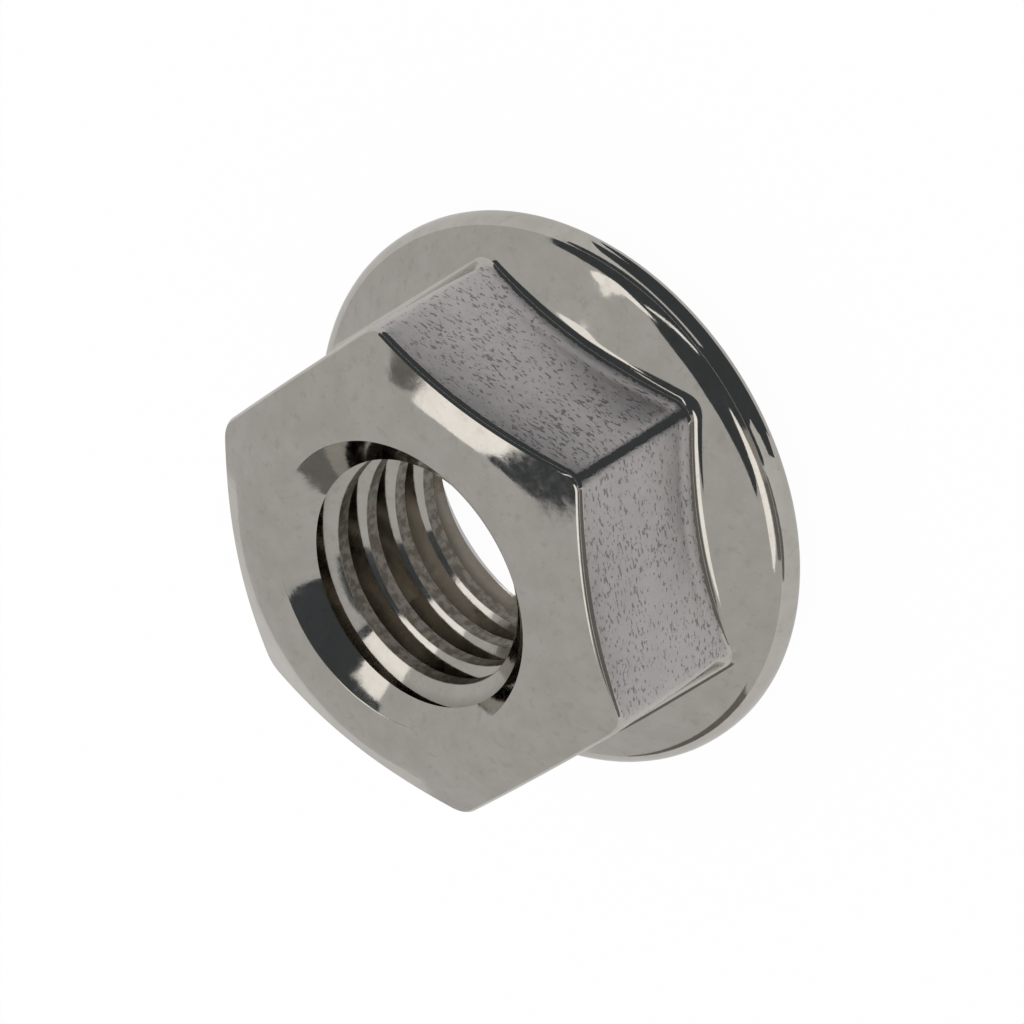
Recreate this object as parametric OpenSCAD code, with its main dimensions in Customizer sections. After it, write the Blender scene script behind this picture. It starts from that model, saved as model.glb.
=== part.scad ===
// Serrated hexagon flange nut for an 8 mm coarse screw, cold formed as one piece.
// The nut stands on its serrated face: Z is the thread's axis, z = 0 is the plane
// of the tooth tips, and the flange lies below the hexagon.

/* [Hexagon] */
// Distance across the flats
across_flats = 12.9; // [12.7:0.1:13.3]
// Height from the tooth tips to the top face
nut_height = 8; // [7.6:0.1:8.4]
// Radius along the six upright edges
corner_radius = 0.7; // [0.4:0.1:1.2]
// Diameter at which the flat top would meet the chamfer in a sharp edge
top_face_d = 11; // [10.4:0.1:11.4]
// Slope of the top chamfer, in degrees from the top face
chamfer_angle = 26.5; // [20:0.5:30]
// Radius that blends the top face into the chamfer
top_blend_radius = 2.5; // [1:0.5:3]

/* [Flange] */
// Outside diameter of the flange
flange_d = 16.7; // [16.4:0.1:17.9]
// Height of the rim, measured where the flange's slope would leave the upper edge radius
rim_height = 1.93; // [1.88:0.01:2]
// Slope of the flange's upper side, in degrees
flange_slope = 30; // [20:1:32]
// Radius of the rim's upper edge
rim_upper_radius = 0.9; // [0.6:0.05:0.95]
// Radius of the rim's lower edge
rim_lower_radius = 0.55; // [0.3:0.05:0.6]

// Radius of the fillet between the hexagon and the flange
root_radius = 0.6; // [0.4:0.05:0.65]

/* [Bore] */
// Diameter of the hole before the thread is cut, which is that of the thread's crests
tap_drill_d = 6.8; // [6.7:0.05:6.9]
// Diameter of the countersink in the top face
top_sink_d = 8.8; // [8.2:0.1:9]
// Included angle of the top countersink
top_sink_angle = 90; // [80:5:120]
// Diameter of the countersink behind the teeth
bottom_sink_d = 9.6; // [9:0.1:9.8]
// Included angle of the bottom countersink
bottom_sink_angle = 90; // [90:5:100]

/* [Serrations] */
// Number of teeth on the bearing face
tooth_count = 30; // [24:2:36]
// Height of a tooth at the outside of the ring
tooth_depth = 0.3; // [0.2:0.02:0.32]
// Width of a tooth's flat tip at the outside of the ring
tooth_tip_w = 0.25; // [0.15:0.05:0.35]
// Lean of the steep side that bites when the nut is turned to loosen it, in degrees
bite_angle = 12; // [5:1:20]
// Outside diameter of the toothed ring
ring_outer_d = 15.2; // [15:0.1:15.2]
// Inside diameter of the toothed ring
ring_inner_d = 11.4; // [11:0.1:11.8]
// Lift of the rim's underside above the tooth tips
rim_lift = 0.35; // [0.35:0.01:0.4]
// Depth of the relief between the teeth and the hole
relief_depth = 0.5; // [0.45:0.05:0.6]

/* [Hidden] */
steel_colour = [0.62, 0.61, 0.59];
sides = 6;
side_turn = 360 / sides;
flange_r = flange_d / 2;
bore_r = tap_drill_d / 2;
ring_outer_r = ring_outer_d / 2;
// Where the flange's slope leaves the rim's upper edge radius
slope_start = [
    flange_r - rim_upper_radius * (1 - sin(flange_slope)),
    rim_height - rim_upper_radius * (1 - cos(flange_slope))
];
tooth_turn = 360 / tooth_count;
// The hexagon starts inside the flange, and cutters run past the faces that they cut
hexagon_base = 1;
overrun = 1;
gap_overrun = 0.3;
// Angle, in degrees, at which an arc crosses the faces that it blends
arc_crossing = 8;
// Where the arcs on the corners have their centres, and the turn at which they end
corner_centre = (across_flats / 2 - corner_radius * cos(arc_crossing)) / cos(side_turn / 2);
arc_end_turn = side_turn / 2 - atan2(
    corner_centre * sin(side_turn / 2) + corner_radius * sin(arc_crossing),
    across_flats / 2
);
// Facets of the fillet across it, along half a flat and round half a corner
fillet_steps = 5;
flat_steps = 4;
corner_steps = 2;
$fn = 96;

// What is cut off one corner of the hexagon to leave an arc there. The arc crosses
// the two flats at a slight angle, and the cutter starts where the arc is outside them.
module corner_cutter() {
    centre = [corner_centre, 0];
    reach = 2 * corner_radius;
    difference() {
        polygon([
            centre,
            centre + reach * [cos(side_turn / 2), -sin(side_turn / 2)],
            centre + reach / cos(side_turn / 2) * [1, 0],
            centre + reach * [cos(side_turn / 2), sin(side_turn / 2)]
        ]);
        translate(centre)
            circle(corner_radius);
    }
}

// Outline of the hexagon with arcs on its corners, one corner towards -Y
module rounded_hexagon() {
    corner_reach = across_flats / 2 / cos(side_turn / 2);
    corner_turns = [for (i = [0:sides - 1]) side_turn * (i + 0.5)];
    difference() {
        polygon([for (turn = corner_turns) corner_reach * [cos(turn), sin(turn)]]);
        for (turn = corner_turns)
            rotate(turn)
                corner_cutter();
    }
}

// Half section of the blank from which the top of the hexagon is cut
module chamfered_profile() {
    outer_r = across_flats / sqrt(3) + overrun;
    top_r = top_face_d / 2;
    blend_run = top_blend_radius * tan(chamfer_angle / 2);
    polygon([
        [0, hexagon_base],
        [outer_r, hexagon_base],
        [outer_r, nut_height - (outer_r - top_r) * tan(chamfer_angle)],
        [top_r + blend_run * cos(chamfer_angle), nut_height - blend_run * sin(chamfer_angle)],
        [top_r - blend_run, nut_height],
        [0, nut_height]
    ]);
    translate([top_r - blend_run, nut_height - top_blend_radius])
        circle(top_blend_radius);
}

// Hexagon whose chamfer meets each flat in a curved edge
module hexagon_body() {
    intersection() {
        rotate_extrude()
            chamfered_profile();
        translate([0, 0, hexagon_base])
            linear_extrude(nut_height)
                rounded_hexagon();
    }
}

// Half section of the flange, sloped on top, with both edges of the rim rounded
module flange_profile() {
    upper_centre = [flange_r - rim_upper_radius, rim_height - rim_upper_radius];
    lower_centre = [flange_r - rim_lower_radius, rim_lift + rim_lower_radius];
    inner_r = across_flats / 2 - overrun;
    slope_end_z = slope_start.y + (slope_start.x - inner_r) * tan(flange_slope);
    polygon([
        [0, rim_lift],
        [lower_centre.x, rim_lift],
        [flange_r, lower_centre.y],
        [flange_r, upper_centre.y],
        slope_start,
        [inner_r, slope_end_z],
        [0, slope_end_z]
    ]);
    translate(upper_centre)
        circle(rim_upper_radius);
    translate(lower_centre)
        circle(rim_lower_radius);
}

// Distance to a corner's arc, along a line from the axis at a turn from the corner's
// line, from the point of that line that is nearest to the arc's centre
function corner_depth(turn) = sqrt(pow(corner_radius, 2) - pow(corner_centre * sin(turn), 2));

// Distance from the axis to the hexagon's outline, at a turn from a corner's line
function outline_reach(turn) =
    turn < arc_end_turn
    ? corner_centre * cos(turn) + corner_depth(turn)
    : across_flats / 2 / cos(side_turn / 2 - turn);

// Cosine of the angle between that line and the outline's normal
function outline_lean(turn) =
    turn < arc_end_turn
    ? corner_depth(turn) / corner_radius
    : cos(side_turn / 2 - turn);

// Section of the fillet on the half plane at one azimuth, as points in space. Its arc
// starts just inside the hexagon and ends just inside the flange.
function fillet_section(azimuth, turn) =
    let (
        reach = outline_reach(turn),
        lean = outline_lean(turn),
        slope = tan(flange_slope) / lean,
        foot_z = slope_start.y + (slope_start.x - reach) * tan(flange_slope),
        centre_d = root_radius * cos(arc_crossing),
        centre_z = foot_z + centre_d * (norm([1, slope]) - slope),
        arc_turn = 90 - atan(slope),
        arc = [
            for (i = [0:fillet_steps])
                let (angle = 180 + arc_turn * i / fillet_steps)
                    [
                        reach + (centre_d + root_radius * cos(angle)) / lean,
                        centre_z + root_radius * sin(angle)
                    ]
        ],
        inner_r = reach - root_radius,
        outer_r = arc[fillet_steps].x,
        section = concat(
            [[inner_r, arc[0].y]],
            arc,
            [[outer_r, hexagon_base], [inner_r, hexagon_base]]
        )
    )
    [for (p = section) [p.x * cos(azimuth), p.x * sin(azimuth), p.y]];

// Fillet between the hexagon and the flange: a loft of sections all the way round
module root_fillet() {
    turns = concat(
        [for (i = [0:corner_steps - 1]) arc_end_turn * i / corner_steps],
        [for (i = [0:flat_steps]) arc_end_turn + (side_turn / 2 - arc_end_turn) * i / flat_steps]
    );
    last = len(turns) - 1;
    sections = [
        for (side = [1:sides])
            let (corner = side_turn * (side - 0.5))
                each concat(
                    [for (i = [0:last]) fillet_section(corner + turns[i], turns[i])],
                    [
                        for (i = [last - 1:-1:1])
                            fillet_section(corner + side_turn - turns[i], turns[i])
                    ]
                )
    ];
    columns = len(sections);
    rows = len(sections[0]);
    polyhedron(
        [for (section = sections) each section],
        [
            for (c = [0:columns - 1])
                for (r = [0:rows - 1])
                    let (
                        next_c = (c + 1) % columns,
                        next_r = (r + 1) % rows,
                        here = c * rows + r,
                        opposite = next_c * rows + next_r
                    )
                        each [
                            [here, opposite, c * rows + next_r],
                            [here, next_c * rows + r, opposite]
                        ]
        ]
    );
}

// Cutter for the hollow between two teeth. Its root line runs through the origin,
// so the hollow and the teeth beside it widen and deepen evenly towards the rim.
module tooth_gap() {
    pitch = 2 * PI * ring_outer_r / tooth_count;
    bite_run = tooth_depth * tan(bite_angle);
    ramp_run = pitch - tooth_tip_w - bite_run;
    root_turn = (tooth_tip_w / 2 + bite_run) / ring_outer_r * 180 / PI;
    root_rise = atan(tooth_depth / ring_outer_r);
    below = 1.25;
    start_r = ring_inner_d / 2 - gap_overrun;
    rotate([0, -root_rise, root_turn])
        translate([start_r, 0, 0])
            rotate([90, 0, 90])
                linear_extrude(ring_outer_r + gap_overrun - start_r)
                    polygon([
                        [0, 0],
                        [-bite_run * below, -tooth_depth * below],
                        [ramp_run * below, -tooth_depth * below]
                    ]);
}

// Toothed bearing ring. Each tip is a flat land, with a steep side towards the
// direction of loosening and a long ramp towards the direction of tightening.
module serrations() {
    difference() {
        cylinder(h = rim_lift + rim_lower_radius, r = ring_outer_r);
        for (i = [0:tooth_count - 1])
            rotate(i * tooth_turn)
                tooth_gap();
    }
}

// Cutter for the hole, both countersinks and the relief inside the teeth
module bore_cutter() {
    top_sink_r = top_sink_d / 2;
    bottom_sink_r = bottom_sink_d / 2;
    top_sink_depth = (top_sink_r - bore_r) / tan(top_sink_angle / 2);
    bottom_sink_depth = (bottom_sink_r - bore_r) / tan(bottom_sink_angle / 2);
    rotate_extrude()
        polygon([
            [0, -overrun],
            [ring_inner_d / 2, -overrun],
            [ring_inner_d / 2, relief_depth],
            [bottom_sink_r, relief_depth],
            [bore_r, relief_depth + bottom_sink_depth],
            [bore_r, nut_height - top_sink_depth],
            [top_sink_r, nut_height],
            [top_sink_r, nut_height + overrun],
            [0, nut_height + overrun]
        ]);
}

// The whole nut, one piece of steel
module flange_nut() {
    color(steel_colour)
        difference() {
            union() {
                hexagon_body();
                rotate_extrude()
                    flange_profile();
                root_fillet();
                serrations();
            }
            bore_cutter();
        }
}

flange_nut();
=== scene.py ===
import math

import bpy
import numpy as np
from mathutils import Matrix, Vector


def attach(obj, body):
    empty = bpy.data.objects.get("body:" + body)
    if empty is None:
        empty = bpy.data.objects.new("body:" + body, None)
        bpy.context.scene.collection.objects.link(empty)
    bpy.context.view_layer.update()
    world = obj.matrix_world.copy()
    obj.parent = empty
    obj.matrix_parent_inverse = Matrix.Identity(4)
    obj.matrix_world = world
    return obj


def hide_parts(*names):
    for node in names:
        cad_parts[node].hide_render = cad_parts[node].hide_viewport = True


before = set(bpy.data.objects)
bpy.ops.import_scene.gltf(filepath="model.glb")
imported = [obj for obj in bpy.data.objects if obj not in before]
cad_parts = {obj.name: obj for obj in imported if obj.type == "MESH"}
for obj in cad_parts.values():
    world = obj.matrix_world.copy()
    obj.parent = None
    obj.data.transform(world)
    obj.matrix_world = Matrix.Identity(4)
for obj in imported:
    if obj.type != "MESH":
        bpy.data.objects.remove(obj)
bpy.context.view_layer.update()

# Sizes of the nut in millimetres, the same as those of the CAD model
ACROSS_FLATS = 12.9
NUT_HEIGHT = 8.0
CORNER_RADIUS = 0.7
TOP_FACE_R = 5.5
CHAMFER_ANGLE = math.radians(26.5)
TOP_BLEND_RADIUS = 2.5
FLANGE_R = 8.35
RIM_HEIGHT = 1.93
FLANGE_SLOPE = math.radians(30)
RIM_UPPER_RADIUS = 0.9
RIM_LOWER_RADIUS = 0.55
RIM_LIFT = 0.35           # the CAD solid bulges below this beyond a radius of 6.9
TOP_SINK_R = 4.4
TOP_SINK_SLOPE = math.radians(45)
BOTTOM_SINK_R = 4.8
BOTTOM_SINK_SLOPE = math.radians(45)
RELIEF_DEPTH = 0.5
TOOTH_COUNT = 30
TOOTH_DEPTH = 0.3
TOOTH_TIP_W = 0.25
BITE_ANGLE = math.radians(12)
RING_OUTER_R = 7.6
RING_INNER_R = 5.7

# Sizes of what the CAD model leaves plain
FILLET_RADIUS = 0.6       # between the hexagon and the flange
FLARE_HEIGHT = 0.5        # above it, where the flats lean out
FLARE_ANGLE = math.radians(20)
CORNER_TURNS = 0.1, 1.5   # degrees from a corner over which the flats' finish begins
EDGE_RADIUS = 0.42        # along the chamfer's edge
EDGE_TURN = 37.0          # degrees of that rounding, which meets the chamfer in a line
SINK_EDGE_RADIUS = 0.12   # between the top face and the countersink
THREAD_PITCH = 1.25
THREAD_MINOR_R = 3.4
THREAD_MAJOR_R = 4.0
CREST_W = 0.40
ROOT_W = 0.16
CREST_Z = 6.4             # height of a crest at the side away from the camera (+Y)

# How finely the mesh is divided
EDGE_STEPS = 7            # around the chamfer's edge
CORNER_STEPS = 6          # from the middle of a corner to its end
SECTION_STEP = math.radians(0.55)
SECTION_GAP = math.radians(0.2)   # kept free beside the sections of teeth and corners
CREASE_LIMIT = 14         # degrees of turn above which an edge is sharp

# Tones of the steel. A pair is the lighter and the darker tone of its blotches.
BARE_TONES = (0.615, 0.585, 0.54, 1), (0.555, 0.525, 0.48, 1)
FLAT_TONES = (0.60, 0.565, 0.548, 1), (0.54, 0.515, 0.515, 1)
CREST_TONES = (0.35, 0.325, 0.285, 1), (0.20, 0.178, 0.148, 1)
SPECK_TONE = (0.45, 0.42, 0.37, 1)
STROKE_TONE = (0.14, 0.12, 0.12, 1)
# painted shade for the thread's roots
ROOT_SHADE_TONE = (0.24, 0.225, 0.19, 1)
BUMP_HEIGHT = 0.00001     # metres

# The studio. Lengths are in metres, apart from those of level cards.
FLOOR_HALF = 1.5
FLOOR_DROP = 0.00002      # keeps the floor clear of the bearing face
BACKDROP_GLOW = 1.03
WORLD_GREY = 0.53
FAR, MIDDLE, NEAR = 0.30, 0.29, 0.28      # bent cards, a nearer one covers those behind it
OVERHEAD, OVER_BORE = 60, 12              # heights of level cards, in millimetres
ON_FLOOR, ABOVE_FLOOR = 0.01, 0.02        # and of those that lie on the floor
RIM_CARD_R = 8.4                          # the rim's painted-shade cards lie just outside the flange, in millimetres
RIM_CARD_TURNS = -103, -50                # where those cards begin and end, in degrees
RIM_CARD_STEPS = 24

# The camera of the photograph, from a pinhole fit to the nut's edges, in metres
CAMERA_PLACE = (0.00142209, -0.12512813, 0.11783541)
CAMERA_TARGET = (0.00011690, -0.00056388, 0.00338496)
CAMERA_ROLL = math.radians(122.0177)
CAMERA_LENS, CAMERA_SENSOR = 213.34, 36.0   # millimetres

SIDES = 6
MM = 0.001
TURN = 2 * math.pi


# ---- the section of the nut at one azimuth -------------------------------------------

def arc(key, cx, cz, radius, start, end, steps):
    """Points on an arc in the plane of radius and height, its angles in degrees."""
    out = []
    for i in range(steps + 1):
        a = math.radians(start + (end - start) * i / steps)
        out.append(((key, i), cx + radius * math.cos(a), cz + radius * math.sin(a)))
    return out


def between(key, a, b, steps):
    """The points that divide the straight line from a to b, without its ends."""
    return [((key, i), a[1] + (b[1] - a[1]) * i / steps, a[2] + (b[2] - a[2]) * i / steps)
            for i in range(1, steps)]


def hexagon_at(azimuth):
    """The hexagon's radius at an azimuth, and the cosine between there and its normal."""
    side = TURN / SIDES
    off = (azimuth + side / 2) % side - side / 2          # from the nearest flat's middle
    half = side / 2
    centre = (ACROSS_FLATS / 2 - CORNER_RADIUS) / math.cos(half)
    end_x = centre * math.cos(half) + CORNER_RADIUS
    end_y = centre * math.sin(half)
    if abs(off) <= math.atan2(end_y, end_x):
        return ACROSS_FLATS / 2 / math.cos(off), math.cos(off)
    t = half - abs(off)                                    # from the corner's line
    reach = centre * math.cos(t) + math.sqrt(CORNER_RADIUS ** 2 - (centre * math.sin(t)) ** 2)
    x, y = reach * math.cos(t) - centre, reach * math.sin(t)
    return reach, (x * math.cos(t) + y * math.sin(t)) / CORNER_RADIUS


def tooth_slope(azimuth):
    """Height of the bearing face divided by the radius, at an azimuth."""
    pitch = TURN / TOOTH_COUNT
    tip, root, rise = tooth_angles()
    a = (azimuth + tip) % pitch - tip
    if a <= tip:
        return 0.0
    if a <= root:
        return rise * math.sin(a - tip) / math.sin(root - tip)
    return rise * math.sin(pitch - tip - a) / math.sin(pitch - tip - root)


def tooth_angles():
    """Half the land's angle, the root's angle from its middle, and the root line's rise."""
    tip = TOOTH_TIP_W / 2 / RING_OUTER_R
    root = tip + TOOTH_DEPTH * math.tan(BITE_ANGLE) / RING_OUTER_R
    return tip, root, TOOTH_DEPTH / RING_OUTER_R


def thread_corners(azimuth, low, high):
    """The thread's corners along the bore at one azimuth, as (key, radius, height)."""
    out = []
    shift = THREAD_PITCH * (azimuth - math.pi / 2) / TURN
    first = math.floor((low - CREST_Z - shift) / THREAD_PITCH) - 1
    last = math.ceil((high - CREST_Z - shift) / THREAD_PITCH) + 1
    for k in range(first, last + 1):
        z = CREST_Z + shift + THREAD_PITCH * k
        out.append((("crest_low", k), THREAD_MINOR_R, z - CREST_W / 2))
        out.append((("crest_high", k), THREAD_MINOR_R, z + CREST_W / 2))
        root = z + THREAD_PITCH / 2
        out.append((("root_low", k), THREAD_MAJOR_R, root - ROOT_W / 2))
        out.append((("root_high", k), THREAD_MAJOR_R, root + ROOT_W / 2))
    return out


def bore_wall(azimuth):
    """The wall from the relief up to the top countersink's edge: the wider of the
    thread and the two countersinks at each height."""
    top_z = NUT_HEIGHT - SINK_EDGE_RADIUS * (1 - math.cos(TOP_SINK_SLOPE))

    def cones(z):
        low = BOTTOM_SINK_R - (z - RELIEF_DEPTH) / math.tan(BOTTOM_SINK_SLOPE)
        high = TOP_SINK_R - (NUT_HEIGHT - z) / math.tan(TOP_SINK_SLOPE)
        return low, high

    out = [(("sink_foot", 0), BOTTOM_SINK_R, RELIEF_DEPTH)]
    corners = thread_corners(azimuth, RELIEF_DEPTH, NUT_HEIGHT)
    for a, b in zip(corners[:-1], corners[1:]):
        for which in (0, 1):
            fa = a[1] - cones(a[2])[which]
            fb = b[1] - cones(b[2])[which]
            if (fa > 0) != (fb > 0):
                t = fa / (fa - fb)
                z = a[2] + t * (b[2] - a[2])
                r = a[1] + t * (b[1] - a[1])
                if RELIEF_DEPTH < z < top_z and r >= cones(z)[1 - which]:
                    out.append((("cut", which) + a[0], r, z))
        if RELIEF_DEPTH < b[2] < top_z and b[1] > max(cones(b[2])):
            out.append(b)
    return out


def section(azimuth):
    """The closed section of the nut at an azimuth, from the countersink outward over the
    top, down the outside, along the underside and back up the bore, as rows of
    (key, radius, height)."""
    rows = []
    # the top face, with a soft edge to the countersink and a blend to the chamfer
    edge_x = TOP_SINK_R + SINK_EDGE_RADIUS * math.tan(TOP_SINK_SLOPE / 2)
    sink_turn = math.degrees(TOP_SINK_SLOPE)
    rows += arc("sink_edge", edge_x, NUT_HEIGHT - SINK_EDGE_RADIUS, SINK_EDGE_RADIUS,
                90 + sink_turn, 90, 4)
    chamfer_turn = math.degrees(CHAMFER_ANGLE)
    run = TOP_BLEND_RADIUS * math.tan(CHAMFER_ANGLE / 2)
    blend = arc("blend", TOP_FACE_R - run, NUT_HEIGHT - TOP_BLEND_RADIUS,
                TOP_BLEND_RADIUS, 90, 90 - chamfer_turn, 6)
    rows += between("top", rows[-1], blend[0], 3)
    rows += blend

    # the chamfer's edge, rounded in the plane across the hexagon's side
    reach, lean = hexagon_at(azimuth)
    slope = math.tan(CHAMFER_ANGLE) / lean
    edge_z = NUT_HEIGHT - (reach - TOP_FACE_R) * math.tan(CHAMFER_ANGLE)
    turn = math.radians(EDGE_TURN)
    centre_z = edge_z + EDGE_RADIUS * (slope * (1 - math.cos(turn)) - math.sin(turn))
    edge = [(key, reach + d / lean, z) for key, d, z in
            arc("edge", -EDGE_RADIUS, centre_z, EDGE_RADIUS, EDGE_TURN, 0, EDGE_STEPS)]
    rows += between("chamfer", rows[-1], edge[0], 4)
    rows += edge

    # the fillet between the hexagon and the flange
    start_x = FLANGE_R - RIM_UPPER_RADIUS + RIM_UPPER_RADIUS * math.sin(FLANGE_SLOPE)
    start_z = RIM_HEIGHT - RIM_UPPER_RADIUS + RIM_UPPER_RADIUS * math.cos(FLANGE_SLOPE)
    foot_z = start_z + (start_x - reach) * math.tan(FLANGE_SLOPE)
    slope = math.tan(FLANGE_SLOPE) / lean
    flare = FLARE_HEIGHT * math.tan(FLARE_ANGLE) / 2
    centre_d = flare + FILLET_RADIUS * math.cos(FLARE_ANGLE)
    centre_z = foot_z - slope * centre_d + FILLET_RADIUS * math.hypot(1, slope)
    fillet = arc("fillet", centre_d, centre_z, FILLET_RADIUS,
                 180 + math.degrees(FLARE_ANGLE), 270 - math.degrees(math.atan(slope)), 7)
    flared = [(("flare", i), flare * (i / 4) ** 2, fillet[0][2] + FLARE_HEIGHT * (1 - i / 4))
              for i in range(4)]
    foot = [(key, reach + d / lean, z) for key, d, z in flared + fillet]
    rows += between("flat", rows[-1], foot[0], 6)
    rows += foot

    # the flange's slope, rim and underside
    sloped = 90 - math.degrees(FLANGE_SLOPE)
    rim = arc("rim_upper", FLANGE_R - RIM_UPPER_RADIUS, RIM_HEIGHT - RIM_UPPER_RADIUS,
              RIM_UPPER_RADIUS, sloped, 0, 7)
    rows += between("slope", rows[-1], rim[0], 4)
    rows += rim
    rows += arc("rim_lower", FLANGE_R - RIM_LOWER_RADIUS, RIM_LIFT + RIM_LOWER_RADIUS,
                RIM_LOWER_RADIUS, 0, -90, 9)

    # the toothed ring and the relief inside it
    tooth = tooth_slope(azimuth)
    mid_r = (RING_OUTER_R + RING_INNER_R) / 2
    rows.append((("ring_root", 0), RING_OUTER_R, RIM_LIFT))
    rows.append((("ring_outer", 0), RING_OUTER_R, RING_OUTER_R * tooth))
    rows.append((("ring_mid", 0), mid_r, mid_r * tooth))
    rows.append((("ring_inner", 0), RING_INNER_R, RING_INNER_R * tooth))
    rows.append((("relief", 0), RING_INNER_R, RELIEF_DEPTH))
    rows += bore_wall(azimuth)
    return rows


def azimuths():
    """Where the sections are taken: an even spacing, the teeth's edges and the
    hexagon's corner arcs."""
    tip, root, _ = tooth_angles()
    special = []
    for i in range(TOOTH_COUNT):
        middle = i * TURN / TOOTH_COUNT
        special += [middle - tip, middle + tip, middle + root]
    centre = (ACROSS_FLATS / 2 - CORNER_RADIUS) / math.cos(math.pi / SIDES)
    for i in range(SIDES):
        corner = (i + 0.5) * TURN / SIDES
        for step in range(-CORNER_STEPS, CORNER_STEPS + 1):
            a = step / CORNER_STEPS * math.pi / SIDES
            special.append(corner + math.atan2(CORNER_RADIUS * math.sin(a),
                                               centre + CORNER_RADIUS * math.cos(a)))
    special = sorted(a % TURN for a in special)
    even = [a for a in np.arange(0, TURN, SECTION_STEP)
            if min(abs((a - s + math.pi) % TURN - math.pi) for s in special) > SECTION_GAP]
    return sorted(special + even)


# ---- the mesh ------------------------------------------------------------------------

def zip_columns(a, b, faces):
    """Joins two neighbouring sections, each a list of (key, vertex), into faces."""
    keys_a = {key for key, _ in a}
    keys_b = {key for key, _ in b}
    i = j = 0
    while i < len(a) - 1 or j < len(b) - 1:
        next_a = a[i + 1] if i < len(a) - 1 else None
        next_b = b[j + 1] if j < len(b) - 1 else None
        if next_a and next_b and next_a[0] == next_b[0]:
            faces.append((a[i][1], next_a[1], next_b[1], b[j][1]))
            i, j = i + 1, j + 1
        elif next_a and next_a[0] not in keys_b:
            faces.append((a[i][1], next_a[1], b[j][1]))
            i += 1
        elif next_b and next_b[0] not in keys_a:
            faces.append((a[i][1], next_b[1], b[j][1]))
            j += 1
        else:
            raise ValueError(f"sections don't match at {next_a} and {next_b}")


def turned_key(key):
    """The key of a thread row of the first section, seen from the end of the turn."""
    if key[0] in ("crest_low", "crest_high", "root_low", "root_high"):
        return (key[0], key[1] - 1)
    if key[0] == "cut":
        return ("cut", key[1], key[2], key[3] - 1)
    return key


def nut_mesh():
    """The whole nut as one closed mesh. Its points are marked where the finish changes: on
    the flats, less so close to a corner, and on the thread's crests; and in the thread's
    roots, where shade is painted."""
    points, columns = [], []
    marks = {"flat": [], "crest": [], "root": []}
    side = TURN / SIDES
    for azimuth in azimuths():
        column = []
        turn = math.degrees(side / 2 - abs((azimuth + side / 2) % side - side / 2))
        begins, full = CORNER_TURNS
        share = min(max((turn - begins) / (full - begins), 0.0), 1.0)
        for key, r, z in section(azimuth):
            column.append((key, len(points)))
            points.append((r * math.cos(azimuth) * MM, r * math.sin(azimuth) * MM, z * MM))
            name = key[0]
            flat = name in ("flat", "flare") or key == ("edge", EDGE_STEPS)
            marks["flat"].append(share if flat else 0.0)
            marks["crest"].append(float(name in ("crest_low", "crest_high")))
            marks["root"].append(float(name in ("root_low", "root_high")))
        column.append((("close", 0), column[0][1]))
        columns.append(column)
    faces = []
    for a, b in zip(columns[:-1], columns[1:]):
        zip_columns(a, b, faces)
    zip_columns(columns[-1], [(turned_key(key), v) for key, v in columns[0]], faces)

    mesh = bpy.data.meshes.new("nut_steel")
    mesh.from_pydata(points, [], faces)
    for name, values in marks.items():
        mesh.attributes.new(name, "FLOAT", "POINT").data.foreach_set("value", values)
    mesh.validate()
    mesh.update()
    return mesh


def smooth_with_creases(mesh, limit):
    """Shades a mesh smooth, apart from edges that turn by more than a limit."""
    mesh.polygons.foreach_set("use_smooth", [True] * len(mesh.polygons))
    mesh.set_sharp_from_angle(angle=math.radians(limit))


def make_nut():
    mesh = nut_mesh()
    smooth_with_creases(mesh, CREASE_LIMIT)
    nut = bpy.data.objects.new("nut_body", mesh)
    bpy.context.scene.collection.objects.link(nut)
    weight = nut.modifiers.new("normals", "WEIGHTED_NORMAL")
    weight.keep_sharp = True
    weight.weight = 50
    return nut


# ---- materials -----------------------------------------------------------------------

class Nodes:
    """A short way to write a material's nodes."""

    def __init__(self, name):
        self.material = bpy.data.materials.new(name)
        self.material.use_nodes = True
        self.tree = self.material.node_tree
        self.tree.nodes.clear()
        self.output = self.tree.nodes.new("ShaderNodeOutputMaterial")

    def add(self, kind, inputs=None, **settings):
        node = self.tree.nodes.new(kind)
        for key, value in settings.items():
            setattr(node, key, value)
        for key, value in (inputs or {}).items():
            self.put(value, node.inputs[key])
        return node

    def put(self, value, socket):
        if isinstance(value, bpy.types.NodeSocket):
            self.tree.links.new(value, socket)
        else:
            socket.default_value = value

    def math(self, operation, a, b=0.0, c=0.0):
        node = self.add("ShaderNodeMath", {0: a, 1: b, 2: c}, operation=operation)
        return node.outputs[0]

    def ramp(self, value, low, high, to_low=0.0, to_high=1.0):
        node = self.add("ShaderNodeMapRange", {0: value, 1: low, 2: high, 3: to_low,
                                               4: to_high}, interpolation_type="SMOOTHSTEP")
        return node.outputs[0]

    def mix(self, factor, a, b):
        node = self.add("ShaderNodeMix", data_type="RGBA")
        self.put(factor, node.inputs[0])
        self.put(a, node.inputs[6])
        self.put(b, node.inputs[7])
        return node.outputs[2]

    def noise(self, place, scale, detail=3.0, roughness=0.55):
        node = self.add("ShaderNodeTexNoise", {"Vector": place, "Scale": scale,
                                               "Detail": detail, "Roughness": roughness})
        return node.outputs["Fac"]


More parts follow.
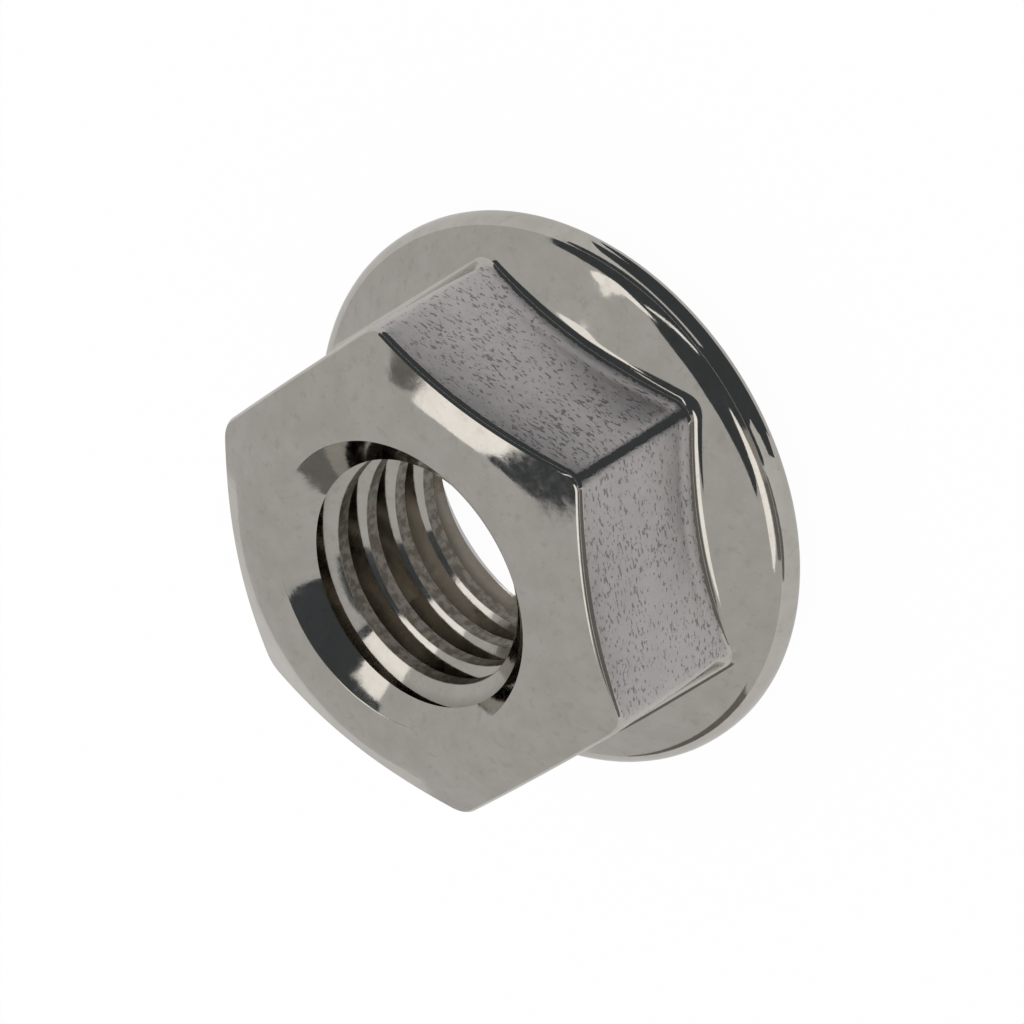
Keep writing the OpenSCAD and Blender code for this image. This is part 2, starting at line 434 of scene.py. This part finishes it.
def steel_material():
    """Smooth steel with duller, stroked flats. The noise lies in the nut's own coordinates,
    so every side has the same finish, whatever the view. Its scales count per metre."""
    n = Nodes("steel")
    place = n.add("ShaderNodeTexCoord").outputs["Object"]
    mark = {name: n.add("ShaderNodeAttribute", attribute_name=name).outputs["Fac"]
            for name in ("flat", "crest", "root")}

    blotch = n.noise(place, 1100.0, 5.0, 0.65)
    fine = n.noise(place, 4000.0, 4.0, 0.6)
    wave = n.noise(place, 1600.0, 2.0, 0.5)
    ragged = n.math("MULTIPLY_ADD", n.noise(place, 5000.0, 3.0, 0.6), 1.4, -0.7)
    flat = n.ramp(n.math("ADD", mark["flat"], ragged), 0.35, 0.75)
    tone = n.ramp(blotch, 0.3, 0.7)
    base = n.mix(tone, *BARE_TONES)
    speck = n.math("MULTIPLY", n.ramp(n.noise(place, 3000.0, 3.0, 0.6), 0.55, 0.7), 0.4)
    base = n.mix(speck, base, SPECK_TONE)
    base = n.mix(flat, base, n.mix(tone, *FLAT_TONES))

    # short dark strokes in the flats, lying level, thicker in some places than others
    level = n.add("ShaderNodeMapping", {"Vector": place, "Scale": (1.0, 1.0, 2.4)})
    strokes = n.noise(level.outputs[0], 5200.0, 2.0, 0.6)
    strokes = n.math("ADD", strokes, n.math("MULTIPLY", n.noise(place, 500.0, 1.0, 0.5), 0.16))
    pit = n.math("MULTIPLY", n.ramp(strokes, 0.655, 0.74), flat)
    base = n.mix(n.math("MULTIPLY", pit, 0.62), base, STROKE_TONE)

    # dull crests, as drilled, and thread roots darkened with painted shade
    crest = n.ramp(mark["crest"], 0.95, 1.0)
    spots = n.ramp(fine, 0.4, 0.6)
    base = n.mix(crest, base, n.mix(spots, *CREST_TONES))
    # painted shade: the thread's roots darker, as if shaded
    root = n.ramp(mark["root"], 0.35, 1.0)
    base = n.mix(n.math("MULTIPLY", root, 0.5), base, ROOT_SHADE_TONE)

    # the flats and the crests are rougher, and the strokes lie deeper
    rough = n.ramp(fine, 0.3, 0.7, 0.05, 0.10)
    rough = n.math("MAXIMUM", rough, n.math("MULTIPLY", flat, 0.32))
    rough = n.math("MAXIMUM", rough, n.math("MULTIPLY", crest, 0.35))
    height = n.math("ADD", n.math("MULTIPLY", fine, 0.5), n.math("MULTIPLY", wave, 1.3))
    height = n.math("SUBTRACT", height, n.math("MULTIPLY", pit, 0.6))
    strength = n.math("MULTIPLY_ADD", flat, 0.5, 0.16)
    bump = n.add("ShaderNodeBump", {"Strength": strength, "Distance": BUMP_HEIGHT,
                                    "Height": height})
    shader = n.add("ShaderNodeBsdfPrincipled", {
        "Base Color": base, "Metallic": 1.0, "Roughness": rough,
        "Normal": bump.outputs[0]})
    n.put(shader.outputs[0], n.output.inputs["Surface"])
    return n.material


def backdrop_material(name, colour, shadow, metal_shadow):
    """White to the camera and in reflections, with a share of each left to the light
    so that the object keeps its shadow, a larger one in the metal's reflections."""
    n = Nodes(name)
    rays = n.add("ShaderNodeLightPath")
    clear = n.math("MAXIMUM", rays.outputs["Is Camera Ray"],
                   rays.outputs["Is Transmission Ray"])
    share = n.math("ADD", n.math("MULTIPLY", clear, 1 - shadow),
                   n.math("MULTIPLY", rays.outputs["Is Glossy Ray"], 1 - metal_shadow))
    grain = n.noise(n.add("ShaderNodeTexCoord").outputs["Object"], 30.0)
    tint = n.mix(grain, (*colour, 1), (*[c * 0.985 for c in colour], 1))
    diffuse = n.add("ShaderNodeBsdfDiffuse", {"Color": tint})
    glow = n.add("ShaderNodeEmission", {"Color": (1, 1, 1, 1), "Strength": BACKDROP_GLOW})
    out = n.add("ShaderNodeMixShader", {0: share, 1: diffuse.outputs[0], 2: glow.outputs[0]})
    n.put(out.outputs[0], n.output.inputs["Surface"])
    return n.material


def card_material(name, colour, strength):
    """An even glow."""
    n = Nodes(name)
    glow = n.add("ShaderNodeEmission", {"Color": (*colour, 1), "Strength": strength})
    n.put(glow.outputs[0], n.output.inputs["Surface"])
    return n.material


# ---- the studio ----------------------------------------------------------------------

def direction(azimuth, elevation):
    """A unit vector towards an azimuth (from +X towards +Y) and an elevation, in degrees."""
    a, e = math.radians(azimuth), math.radians(elevation)
    return Vector((math.cos(a) * math.cos(e), math.sin(a) * math.cos(e), math.sin(e)))


CENTRE = Vector((0, 0, 0.004))


def stage_card(name, places, faces, material):
    """A card that shows only in the metal's reflections."""
    mesh = bpy.data.meshes.new(name)
    mesh.from_pydata(places, [], faces)
    mesh.materials.append(material)
    obj = bpy.data.objects.new(name, mesh)
    bpy.context.scene.collection.objects.link(obj)
    obj.visible_camera = False
    obj.visible_shadow = False
    obj.visible_diffuse = False


def round_card(name, edges, distance, material):
    """A card bent around the nut. Its edges are rows of azimuth, lower elevation and
    upper elevation, in degrees."""
    columns, levels = [], 6
    for (a, low_a, high_a), (b, low_b, high_b) in zip(edges[:-1], edges[1:]):
        steps = math.ceil((b - a) / 6)
        columns += [(a + (b - a) * i / steps, low_a + (low_b - low_a) * i / steps,
                     high_a + (high_b - high_a) * i / steps) for i in range(steps)]
    columns.append(edges[-1])
    places = [CENTRE + direction(azimuth, low + (high - low) * k / levels) * distance
              for azimuth, low, high in columns for k in range(levels + 1)]
    row = levels + 1
    faces = [(i * row + k, (i + 1) * row + k, (i + 1) * row + k + 1, i * row + k + 1)
             for i in range(len(columns) - 1) for k in range(levels)]
    stage_card(name, places, faces, material)


def flat_card(name, corners, height, material):
    """A level card, its corners and height in millimetres."""
    places = [(x * MM, y * MM, height * MM) for x, y in corners]
    stage_card(name, places, [tuple(range(len(places)))], material)


def make_floor():
    half = FLOOR_HALF
    mesh = bpy.data.meshes.new("floor")
    mesh.from_pydata([(-half, -half, 0), (half, -half, 0), (half, half, 0),
                      (-half, half, 0)], [], [(0, 1, 2, 3)])
    mesh.materials.append(backdrop_material("floor_white", (0.85, 0.85, 0.85), 0.06, 0.6))
    floor = bpy.data.objects.new("floor", mesh)
    floor.location.z = -FLOOR_DROP
    bpy.context.scene.collection.objects.link(floor)


def make_world():
    """An even pale light from all sides. The scene has no lamp."""
    world = bpy.data.worlds.new("studio")
    world.use_nodes = True
    background = world.node_tree.nodes["Background"]
    background.inputs["Color"].default_value = (WORLD_GREY, WORLD_GREY, WORLD_GREY, 1)
    background.inputs["Strength"].default_value = 1.0
    bpy.context.scene.world = world


def make_rim_shade(material):
    """Narrow dark level cards beside the rim, tapered to both ends, each as wide as it is high
    above the floor, seen only in the rim's reflections: painted shade of the floor at the
    flange's foot."""
    for height in (0.9, 0.5):
        turns = np.radians(np.linspace(*RIM_CARD_TURNS, RIM_CARD_STEPS))
        widths = height * np.sin(np.linspace(0, math.pi, RIM_CARD_STEPS)) ** 0.5
        ring = [(RIM_CARD_R * math.cos(a), RIM_CARD_R * math.sin(a)) for a in turns]
        ring += [((RIM_CARD_R + w) * math.cos(a), (RIM_CARD_R + w) * math.sin(a))
                 for a, w in list(zip(turns, widths))[-2:0:-1]]
        flat_card(f"shade_card_rim_{height * 10:.0f}", ring, height, material)


def make_cards():
    """The dark side of the studio, where the photographer stands, the lights in it, and the
    painted shade of the floor beside the rim. The outlines are fitted to where the
    photograph's steel mirrors them."""
    dark = card_material("card_dark", (0.88, 1.0, 1.1), 0.065)
    dim = card_material("card_dim", (1.0, 0.98, 0.94), 0.17)
    grey = card_material("card_grey", (1.0, 0.98, 0.94), 0.33)
    bright = card_material("card_bright", (1.0, 0.99, 0.97), 1.25)
    # bent cards: the dark side, the dim and grey parts of it, and the lights
    round_card("card_side", [(-136, 46, 50), (-125, 34, 56), (-112, 0, 63), (-90, 0, 68),
                             (-60, 0, 65), (-52, 0, 60), (-46, 0, 42), (-38, 0, 31),
                             (-22, 0, 26), (-12, 0, 18)], FAR, dark)
    round_card("card_back", [(120, -5, 2), (130, -4, 10), (142, -3, 15), (158, 0, 20)],
               FAR, dim)
    round_card("card_low", [(-152, 0, 12), (-124, 0, 13)], MIDDLE, dim)
    round_card("card_left", [(-124, 0, 16), (-106, 0, 16)], MIDDLE, grey)
    round_card("strip_left", [(-158, 22, 28), (-146, 15, 34), (-118, 15, 33),
                              (-104, 19, 29), (-98, 22, 25)], NEAR, bright)
    round_card("strip_low", [(-76, 7, 11), (-64, 13, 21), (-56, 23, 28), (-50, 30, 33)],
               NEAR, bright)
    round_card("strip_right", [(-52, 42, 46), (-45, 38, 49), (-38, 31, 48), (-34, 30, 48),
                               (-28, 33, 54), (-20, 42, 58), (-13, 54, 60)], NEAR, bright)
    # level cards: over the nut, over its bore, and on the floor
    flat_card("card_over", [(-8, -12.8), (-2.5, -11.8), (3, -10.4), (7, -8.8), (9.8, -6),
                            (11.8, -2), (13.6, -3.5), (14, -7), (12, -9.8), (8.5, -12),
                            (5, -15.5), (-8, -15.5)], OVERHEAD, dark)
    flat_card("strip_over", [(14.3, -7), (14, -3), (15, 2), (19, 8), (26, 11), (33, 12),
                             (38, 8.6), (36, 2), (28, -7), (20, -12), (9.4, -12.6),
                             (12.4, -9.8)], OVERHEAD, bright)
    flat_card("card_right", [(38, 4), (39, 9), (42, 15), (46, 18), (54, 20), (48, 9),
                             (42, 3)], OVERHEAD, dim)
    flat_card("card_bore", [(-0.6, 1.3), (1.2, 1.2), (1.9, 2), (1.4, 2.5), (-0.6, 2.5)],
              OVER_BORE, dark)
    flat_card("card_front", [(-2.8, -8.6), (2.8, -8.6), (2.9, -9.3), (1.5, -10.1), (3.1, -14.2),
                             (4.4, -13.5), (5.5, -12.7), (6.9, -11.1), (12.9, -8.2),
                             (30, -13), (270, -115), (190, -220), (50, -285), (-140, -255),
                             (-60, -110), (-7, -16), (-5, -13.4), (-3.1, -14.2),
                             (-1.5, -10.1), (-2.9, -9.3)], ON_FLOOR, dark)
    # painted shade of the floor beside the rim, seen only in the rim's reflections
    make_rim_shade(dark)
    flat_card("card_front_left", [(-10, -11), (-14, -9.5), (-30, -15), (-110, -50),
                                  (-62, -110), (-9, -17)], ABOVE_FLOOR, dim)


def make_camera():
    data = bpy.data.cameras.new("camera")
    data.sensor_fit = "HORIZONTAL"
    data.sensor_width = CAMERA_SENSOR
    data.lens = CAMERA_LENS
    data.clip_start, data.clip_end = 0.01, 10.0
    camera = bpy.data.objects.new("camera", data)
    bpy.context.scene.collection.objects.link(camera)
    place = Vector(CAMERA_PLACE)
    look = (Vector(CAMERA_TARGET) - place).normalized()
    side = look.cross(Vector((0, 0, 1))).normalized()
    upright = side.cross(look)
    up = upright * math.cos(CAMERA_ROLL) + side * math.sin(CAMERA_ROLL)
    right = look.cross(up)
    camera.matrix_world = Matrix((
        (right.x, up.x, -look.x, place.x), (right.y, up.y, -look.y, place.y),
        (right.z, up.z, -look.z, place.z), (0, 0, 0, 1)))
    bpy.context.scene.camera = camera


def main():
    nut = make_nut()
    nut.data.materials.append(steel_material())
    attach(nut, "root")
    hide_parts("flange_nut")

    make_floor()
    make_world()
    make_camera()
    make_cards()
    bpy.context.scene.view_settings.view_transform = "Standard"


main()
